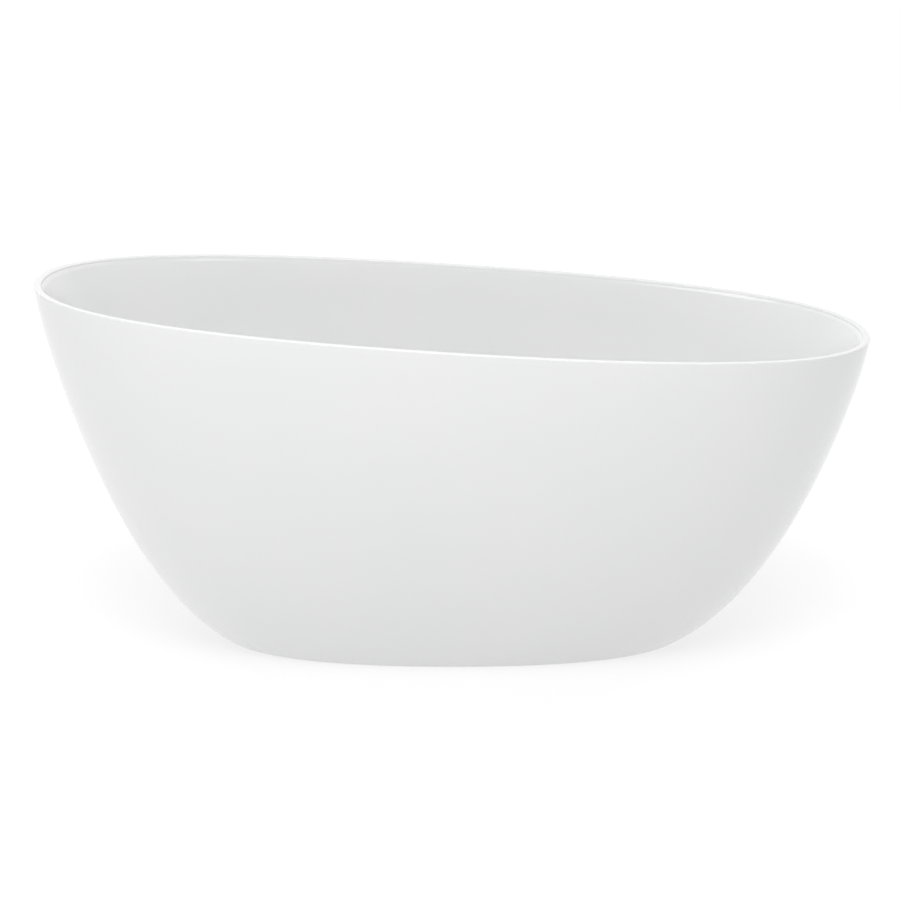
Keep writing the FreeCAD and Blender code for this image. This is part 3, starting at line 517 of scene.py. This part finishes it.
def make_frame_steel():
    f = Finish("frame_steel", grey(0.3), 0.45, 0.2)
    f.tint(f.noise(12, 5), [(0.3, (0.27, 0.285, 0.3)), (0.7, (0.33, 0.345, 0.36))])
    f.spread(f.noise(40), 0.35, 0.55)
    f.bump(f.noise(900, 2), 0.25, 0.0002)
    return f


def make_zinc():
    f = Finish("zinc_plate", grey(0.62), 0.3, 1.0)
    _, color = f.cells(220)
    f.tint(color, [(0.1, (0.55, 0.57, 0.6)), (0.9, (0.72, 0.73, 0.74))])
    f.spread(f.noise(120, 4), 0.22, 0.42)
    f.bump(f.noise(700, 3), 0.15, 0.0002)
    return f


def make_rubber(name, value):
    f = Finish(name, grey(value), 0.75)
    f.tint(f.noise(150, 4), [(0.3, grey(value * 0.8)), (0.7, grey(value * 1.25))])
    f.spread(f.noise(60), 0.6, 0.85)
    f.bump(f.noise(1400, 3), 0.35, 0.0003)
    return f


def make_chrome():
    f = Finish("chrome", (0.8, 0.81, 0.83), 0.06, 1.0)
    f.tint(f.noise(25, 2), [(0.3, (0.77, 0.785, 0.8)), (0.7, (0.83, 0.84, 0.85))])
    f.spread(f.noise(70, 5), 0.03, 0.11)
    f.bump(f.noise(260, 2), 0.02, 0.0002)
    return f


def make_brass():
    f = Finish("brass", (0.72, 0.53, 0.25), 0.3, 1.0)
    f.tint(f.noise(90, 5), [(0.3, (0.58, 0.42, 0.2)), (0.7, (0.76, 0.58, 0.29))])
    f.spread(f.noise(200, 3), 0.2, 0.42)
    f.bump(f.noise(500, 2, (0.05, 0.05, 4)), 0.2, 0.0002)
    return f


def make_spring_steel():
    f = Finish("spring_steel", grey(0.56), 0.3, 1.0)
    f.tint(f.noise(80, 3), [(0.3, (0.5, 0.51, 0.53)), (0.7, (0.64, 0.65, 0.66))])
    f.spread(f.noise(300, 2), 0.2, 0.38)
    f.bump(f.noise(900, 2, (0.1, 1, 1)), 0.1, 0.0002)
    return f


def make_plastic(name, color, roughness):
    f = Finish(name, color, roughness)
    low = tuple(c * 0.96 for c in color)
    high = tuple(min(c * 1.03, 1) for c in color)
    f.tint(f.noise(35, 3), [(0.3, low), (0.7, high)])
    f.spread(f.noise(90, 4), roughness - 0.07, roughness + 0.1)
    f.bump(f.noise(1100, 2), 0.2, 0.0002)
    return f


MAKERS = {
    "acrylic": make_acrylic,
    "board": make_board,
    "frame_steel": make_frame_steel,
    "zinc_plate": make_zinc,
    "rubber_pad": lambda: make_rubber("rubber_pad", 0.035),
    "seal_rubber": lambda: make_rubber("seal_rubber", 0.06),
    "chrome": make_chrome,
    "brass": make_brass,
    "spring_steel": make_spring_steel,
    "grey_plastic": lambda: make_plastic("grey_plastic", (0.3, 0.31, 0.33), 0.42),
    "hose_plastic": lambda: make_plastic("hose_plastic", (0.72, 0.73, 0.74), 0.4),
    "white_plastic": lambda: make_plastic("white_plastic", (0.8, 0.8, 0.79), 0.38),
}


def finish_of(slot):
    if slot not in finishes:
        finishes[slot] = MAKERS[slot]().material
    return finishes[slot]


# ---------------------------------------------------------------- outer shell


def share_below_rim(index, depth):
    """Where this column of the shell is this far below the rim."""
    return solve(lambda s: shell_point(index, s).z >= rim_level(shell_point(index, s).x) - depth)


def make_shell_skin():
    """The whole outer shell as one loop of rings: outside, top edge, inside, and the inward foot flange."""
    top_share = [share_below_rim(k, LIP_DEPTH) for k in range(AROUND)]
    start = share_at(FOOT_ROUND)

    def outside(t):
        return [shell_point(k, mix(start, top_share[k], t)) for k in range(AROUND)]

    corner = oval(BASE_A, BASE_B, 0, 0)
    heel = oval(BASE_A - FOOT_ROUND, BASE_B - FOOT_ROUND, 0, 0)
    wall = [outside(i / WALL_RINGS) for i in range(WALL_RINGS + 1)]
    rings = [heel] + bend_rings(heel, corner, wall[0]) + wall
    shares = [mix(start, 1, i / WALL_RINGS) for i in range(WALL_RINGS + 1)]
    inner_sizes = grown([shell_sizes(s) for s in shares], -SHELL_WALL)
    inner = [oval(*size) for size in inner_sizes if size[2] > 2 * SHELL_WALL]
    top = [Vector((p.x, p.y, min(p.z, rim_level(p.x) - LIP_DEPTH))) for p in inner[-1]]
    inner[-1] = top
    rings += [top] + list(reversed(inner[:-1]))
    seat_a, seat_b = shell_sizes(share_at(SHELL_WALL))[:2]
    rings.append(oval(seat_a - 2 * SHELL_WALL, seat_b - SHELL_WALL * 1.3, SHELL_WALL, 0))
    edge_a, edge_b = BASE_A - FLANGE_WIDTH, BASE_B - FLANGE_WIDTH
    rings.append(oval(edge_a, edge_b, SHELL_WALL, 0))
    rings.append(oval(edge_a, edge_b, 0, 0))
    add_piece("shell_skin", mesh_through("shell_skin", rings), "bath", "acrylic", ["outer_shell"])


# ---------------------------------------------------------------- basin

drain = centre_of("drain_flange")


def around_drain(radius, z, partners):
    """A circle whose points face the same way from the drain as their partners do."""
    ring = []
    for p in partners:
        away = Vector((p.x - drain.x, p.y - drain.y, 0)).normalized()
        ring.append(Vector((drain.x + away.x * radius, drain.y + away.y * radius, z)))
    return ring


def floor_height(x, half_length):
    return FLOOR_LEVEL - FLOOR_FALL * x / half_length


def below(rings, limit):
    """The rings that stay clear below the limit at every point."""
    return [ring for ring in rings if all(p.z < q.z - MM for p, q in zip(ring, limit))]


def lip_rings(rim_in, rim_out):
    """From the basin's inner wall over the rounded rim and down to the lip's lower outer edge."""
    up = Vector((RIM_RISE / RIM_A, 0, 1)).normalized()
    inner_start = [p - up * INNER_ROUND for p in rim_in]
    lip_in = toward(rim_in, rim_out, INNER_ROUND)
    lip_out = toward(rim_out, rim_in, OUTER_ROUND)
    crown = [(p + q) / 2 + up * CROWN for p, q in zip(lip_in, lip_out)]
    outer_start = [shell_point(k, share_below_rim(k, OUTER_ROUND)) for k in range(AROUND)]
    outer_end = [shell_point(k, share_below_rim(k, LIP_DEPTH)) for k in range(AROUND)]
    rings = [inner_start] + bend_rings(inner_start, rim_in, lip_in)
    rings += [lip_in] + bend_rings(lip_in, crown, lip_out, CROWN_STEPS) + [lip_out]
    rings += bend_rings(lip_out, rim_out, outer_start) + [outer_start]
    return rings + [between(outer_start, outer_end, 0.5), outer_end]


def floor_rings(edge_a, edge_b, floor_edge):
    """Under the floor to the waste hole, up through it, round its recess and out over the floor."""
    foot = oval(edge_a, edge_b, UNDERSIDE, 0)
    hole = around_drain(WASTE_HOLE, UNDERSIDE, foot)
    level = floor_height(drain.x, edge_a)
    top = around_drain(SEAT_RADIUS + SEAT_EASE, level, foot)
    for p in top:
        p.z = floor_height(p.x, edge_a)
    rings = [foot] + [between(foot, hole, t / UNDER_RINGS) for t in range(1, UNDER_RINGS)]
    rings += [hole, around_drain(WASTE_HOLE, SEAT_LEVEL, foot), around_drain(SEAT_RADIUS, SEAT_LEVEL, foot)]
    rings += [around_drain(SEAT_RADIUS, level - SEAT_EASE, foot), top]
    return rings + [between(top, floor_edge, t / FLOOR_RINGS) for t in range(1, FLOOR_RINGS)]


def make_basin_skin():
    """Basin and lip as one loop of rings: inner wall, lip, the lip's underside, skin and floor."""
    inner_sizes = basin_wall_sizes()
    inner = [oval(*size) for size in inner_sizes]
    rim_in = inner[-1]
    rim_out = [shell_point(k, 1) for k in range(AROUND)]
    for p in rim_in + rim_out:
        p.z = rim_level(p.x)
    lip = lip_rings(rim_in, rim_out)
    skin_sizes = grown(inner_sizes, BASIN_WALL)
    under = [Vector((p.x, p.y, rim_level(p.x) - LIP_DEPTH)) for p in oval(*skin_sizes[-1])]
    skin = below([oval(*size) for size in skin_sizes[1:]], under)
    rings = below(inner[:-1], lip[0]) + lip + [under] + list(reversed(skin))
    rings += floor_rings(*inner_sizes[0][:2], inner[0])
    return add_piece("basin_skin", mesh_through("basin_skin", rings), "bath", "acrylic", ["inner_basin"])


make_shell_skin()
basin = make_basin_skin()

# ---------------------------------------------------------------- waste, plug and overflow cover

up_the_wall = Vector((0, 1, 0)).cross(OVERFLOW_AXIS)
wall_face = centre_of("overflow_gasket") + OVERFLOW_AXIS * OVERFLOW_GASKET / 2
wall_turn = Matrix((up_the_wall, (0, 1, 0), OVERFLOW_AXIS)).transposed().to_4x4()
wall_place = Matrix.Translation(wall_face) @ wall_turn
drain_place = above(drain)

# Profiles are (radius, height) corners in millimetres: the waste's heights are above the floor, and the
# cover's are out from the basin wall's rear face.
FLANGE = scaled([(18, 114), (20.5, 114), (20.5, 131), (35, 131), (34.4, 132.6), (31, 133), (21.5, 133),
                 (18.4, 131.6)])
CAP = scaled([(4, 135), (28.2, 135), (29.3, 135.3), (30, 136.2), (29.6, 137.3), (28.3, 138),
              (26.2, 138.2), (25.6, 137.8), (24.9, 138.35), (18, 139.3), (9, 139.85), (0, 140),
              (0, 137.5), (4, 137.5)])
SEAL = scaled([(4, 133), (23.2, 133), (24, 133.5), (23.3, 134), (24, 134.5), (23.2, 135), (4, 135)])
COVER = scaled([(0, 13.8), (26.05, 13.8), (26.05, 5.3), (30, 5.3), (31, 6.3), (31, 13.4), (30.2, 15.0),
                (28.4, 15.7), (20, 15.8), (0, 15.8)])
COVER_RADIUS = 31 * MM
SLOT_WIDTH, SLOT_LOW, SLOT_HIGH = 28 * MM, 6.8 * MM, 13.79 * MM
FLANGE_EASE, CAP_EASE, SEAL_EASE, COVER_EASE, SLOT_EASE = 0.5 * MM, 0.3 * MM, 0.2 * MM, 0.6 * MM, 0.3 * MM
SLOT_ANGLE = 60


def cut_overflow(basin):
    """A flat seat on both faces of the wall for the overflow, and the hole through it."""
    front = BASIN_WALL * SEAT_SHARE
    beyond = 3 * BASIN_WALL
    carve(basin, [
        ("UNION", disc_tool(wall_place, OVERFLOW_SEAT - MM, 0, front)),
        ("DIFFERENCE", disc_tool(wall_place, OVERFLOW_SEAT, front, beyond)),
        ("DIFFERENCE", disc_tool(wall_place, OVERFLOW_SEAT, -BASIN_WALL, 0)),
        ("DIFFERENCE", disc_tool(wall_place, OVERFLOW_HOLE, -BASIN_WALL - MM, beyond + MM)),
    ])


def make_waste():
    turned("drain_flange_turned", eased(FLANGE, FLANGE_EASE), drain_place, "bath", "chrome", ["drain_flange"])
    turned("plug_cap_turned", eased(CAP, CAP_EASE), drain_place, "plug", "chrome", ["plug_cap"])
    turned("plug_seal_turned", eased(SEAL, SEAL_EASE), drain_place, "plug", "seal_rubber", ["plug_seal"])


def make_cover():
    """A round cap over the overflow, with a slot for the water in its lower side."""
    name = "overflow_cover_turned"
    cover = turned(name, eased(COVER, COVER_EASE), wall_place, "bath", "chrome", ["overflow_cover"])
    low = (-COVER_RADIUS - MM, -SLOT_WIDTH / 2, SLOT_LOW)
    high = (-MM, SLOT_WIDTH / 2, SLOT_HIGH)
    carve(cover, [("DIFFERENCE", box_tool(wall_place, low, high))])
    ease_edges(cover, SLOT_EASE, SLOT_ANGLE)


cut_overflow(basin)
make_waste()
make_cover()

# ---------------------------------------------------------------- feet

THREAD_PITCH, THREAD_DEPTH = 1.75 * MM, 0.55 * MM
THREAD_FLANK = 2.6
THREAD_SIDES, THREAD_STEPS = 24, 8
THREAD_SHARP = 60
STUD_CHAMFER = 1.2 * MM
PAD = scaled([(0, 0.6), (17, 0.6), (18, 0), (22.6, 0), (24, 1.2), (24, 2.2), (23.2, 2.7), (24, 3.2),
              (24, 4.2), (23.2, 4.7), (24, 5.2), (23.6, 6.4), (20, 8.6), (15, 10.6), (12, 11.6),
              (9.5, 12), (6, 12), (6, 4), (0, 4)])
PAD_EASE = 0.4 * MM


def thread_depth(z, angle):
    """How far the thread's groove cuts in at this height and angle."""
    turn = (z / THREAD_PITCH - angle / (2 * math.pi)) % 1
    return THREAD_DEPTH * max(0.0, 1 - abs(turn - 0.5) * THREAD_FLANK)


def make_stud(index):
    """A threaded rod with a chamfered top end."""
    low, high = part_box(f"foot_stud_{index}")
    middle = (low + high) / 2
    radius, length = (high.x - low.x) / 2, high.z - low.z
    count = int(length / THREAD_PITCH * THREAD_STEPS)
    points = []
    for i in range(count + 1):
        z = length * i / count
        widest = radius - max(STUD_CHAMFER - (length - z), 0)
        for k in range(THREAD_SIDES):
            angle = 2 * math.pi * k / THREAD_SIDES
            r = min(radius - thread_depth(z, angle), widest)
            points.append(Vector((middle.x, middle.y, low.z)) + around_axis(r, z, angle))
    name = f"foot_stud_{index}_threaded"
    mesh = capped(name, points, count + 1, THREAD_SIDES)
    add_piece(name, mesh, f"foot_{index}", "zinc_plate", [f"foot_stud_{index}"], THREAD_SHARP)


def make_pad(index):
    """A round rubber foot with two grooves in its edge, rising to a collar round the stud."""
    node = f"foot_pad_{index}"
    place = above(centre_of(node))
    turned(f"{node}_moulded", eased(PAD, PAD_EASE), place, f"foot_{index}", "rubber_pad", [node], PAD_STEPS)


for index in range(1, FEET + 1):
    make_stud(index)
    make_pad(index)

# ---------------------------------------------------------------- the rest, with its edges eased

BOARD_EASE, METAL_EASE = 1.0 * MM, 0.35 * MM
NO_EDGES = ("plug_spring", "overflow_hose")
FLAT_ANGLE = 0.4


def make_eased(node, width):
    """The node's own shape with its sharp edges rounded over."""
    mesh = nodes[node].data.copy()
    shape = bmesh.new()
    shape.from_mesh(mesh)
    bmesh.ops.remove_doubles(shape, verts=shape.verts, dist=TINY)
    flat = math.radians(FLAT_ANGLE)
    bmesh.ops.dissolve_limit(shape, angle_limit=flat, verts=shape.verts, edges=shape.edges)
    shape.to_mesh(mesh)
    shape.free()
    piece = add_piece(f"{node}_eased", mesh, nodes[node]["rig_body"], slot_of[node], [node])
    ease_edges(piece, width)


for name, item in nodes.items():
    if item.hide_render:
        continue
    if name in NO_EDGES:
        item.data.materials.clear()
        item.data.materials.append(finish_of(slot_of[name]))
    else:
        make_eased(name, BOARD_EASE if name == "base_board" else METAL_EASE)

# ---------------------------------------------------------------- studio

# Distance from the bath where the floor's painted glow starts and stops growing, and its strength at each.
# The glow is painted light that stands in for the overhead lamp's light further out.
FLOOR_PAINTED_GLOW = (0.45, 1.3, 0.68, 0.84)
FLOOR_REACH = 40

# One term a line: axis, where it starts and ends along that axis, and its share of light at each end.
SKY = (
    ("X", -1, 1, 0.09, -0.02),
    ("Y", -1, 0.1, -0.12, 0.0),
    ("Y", 0.1, 0.9, 0.0, 0.60),
    ("Z", -1, 1, -0.10, 0.04),
)
SKY_LEVEL = 0.425

# One lamp a line: name, place, the point it faces, size and watts.
LAMPS = (
    ("overhead", (-0.1, -1.6, 3.4), (0, 0.2, 0.4), (3.4, 2.2), 84),
    ("left_front", (-3.4, -2.6, 0.7), (0, 0, 0.3), (2.0, 1.2), 10),
)

CAMERA_LENS, CAMERA_PITCH, CAMERA_DISTANCE, CAMERA_REACH = 102.3, 16.77, 5.0, 200
CAMERA_TARGET = Vector((-0.0062, 0, 0.360))


def make_floor():
    """A pale floor with a painted glow. Its emission grows further from the bath to stand in for the overhead
    lamp's light where that falls off, and it pales the bath's shadow near it.
    """
    mesh = bpy.data.meshes.new("studio_floor")
    corners = [(x * FLOOR_REACH, y * FLOOR_REACH, 0) for x, y in ((-1, -1), (1, -1), (1, 1), (-1, 1))]
    mesh.from_pydata(corners, [], [(0, 1, 2, 3)])
    floor = bpy.data.objects.new("studio_floor", mesh)
    bpy.context.scene.collection.objects.link(floor)
    f = Finish("studio_floor", grey(0.3), 0.9)
    f.put("Specular IOR Level", 0.0)
    f.put("Emission Color", (1, 1, 1, 1))
    # Painted light: emission that grows with distance from the bath, in place of lamp light.
    f.by_distance("Emission Strength", FLOOR_PAINTED_GLOW)
    mesh.materials.append(f.material)


def make_world():
    """A pale studio, brightest behind the bath and a little darker to the front, the right and below."""
    world = bpy.data.worlds.new("studio")
    bpy.context.scene.world = world
    world.use_nodes = True
    tree = world.node_tree
    background = next(n for n in tree.nodes if n.type == "BACKGROUND")
    place = tree.nodes.new("ShaderNodeTexCoord")
    parts = tree.nodes.new("ShaderNodeSeparateXYZ")
    tree.links.new(place.outputs["Generated"], parts.inputs["Vector"])
    total = tree.nodes.new("ShaderNodeValue").outputs["Value"]
    total.default_value = SKY_LEVEL
    for axis, *limits in SKY:
        term = span(tree, parts.outputs[axis], limits)
        term.interpolation_type = "SMOOTHSTEP"
        add = tree.nodes.new("ShaderNodeMath")
        tree.links.new(total, add.inputs[0])
        tree.links.new(term.outputs["Result"], add.inputs[1])
        total = add.outputs["Value"]
    tree.links.new(total, background.inputs["Strength"])
    background.inputs["Color"].default_value = (1, 1, 1, 1)


def add_light(name, place, target, size, power):
    lamp = bpy.data.lights.new(name, "AREA")
    lamp.shape = "RECTANGLE"
    lamp.size, lamp.size_y = size
    lamp.energy = power
    item = bpy.data.objects.new(name, lamp)
    bpy.context.scene.collection.objects.link(item)
    item.location = place
    item.rotation_euler = (Vector(target) - Vector(place)).to_track_quat("-Z", "Y").to_euler()


def make_camera():
    data = bpy.data.cameras.new("camera")
    data.lens = CAMERA_LENS
    data.sensor_width = 36
    data.clip_end = CAMERA_REACH
    camera = bpy.data.objects.new("camera", data)
    bpy.context.scene.collection.objects.link(camera)
    pitch = math.radians(CAMERA_PITCH)
    camera.location = CAMERA_TARGET + Vector((0, -math.cos(pitch), math.sin(pitch))) * CAMERA_DISTANCE
    camera.rotation_euler = (CAMERA_TARGET - camera.location).to_track_quat("-Z", "Y").to_euler()
    bpy.context.scene.camera = camera


make_floor()
make_world()
for lamp in LAMPS:
    add_light(*lamp)
make_camera()
bpy.context.scene.view_settings.view_transform = "Standard"
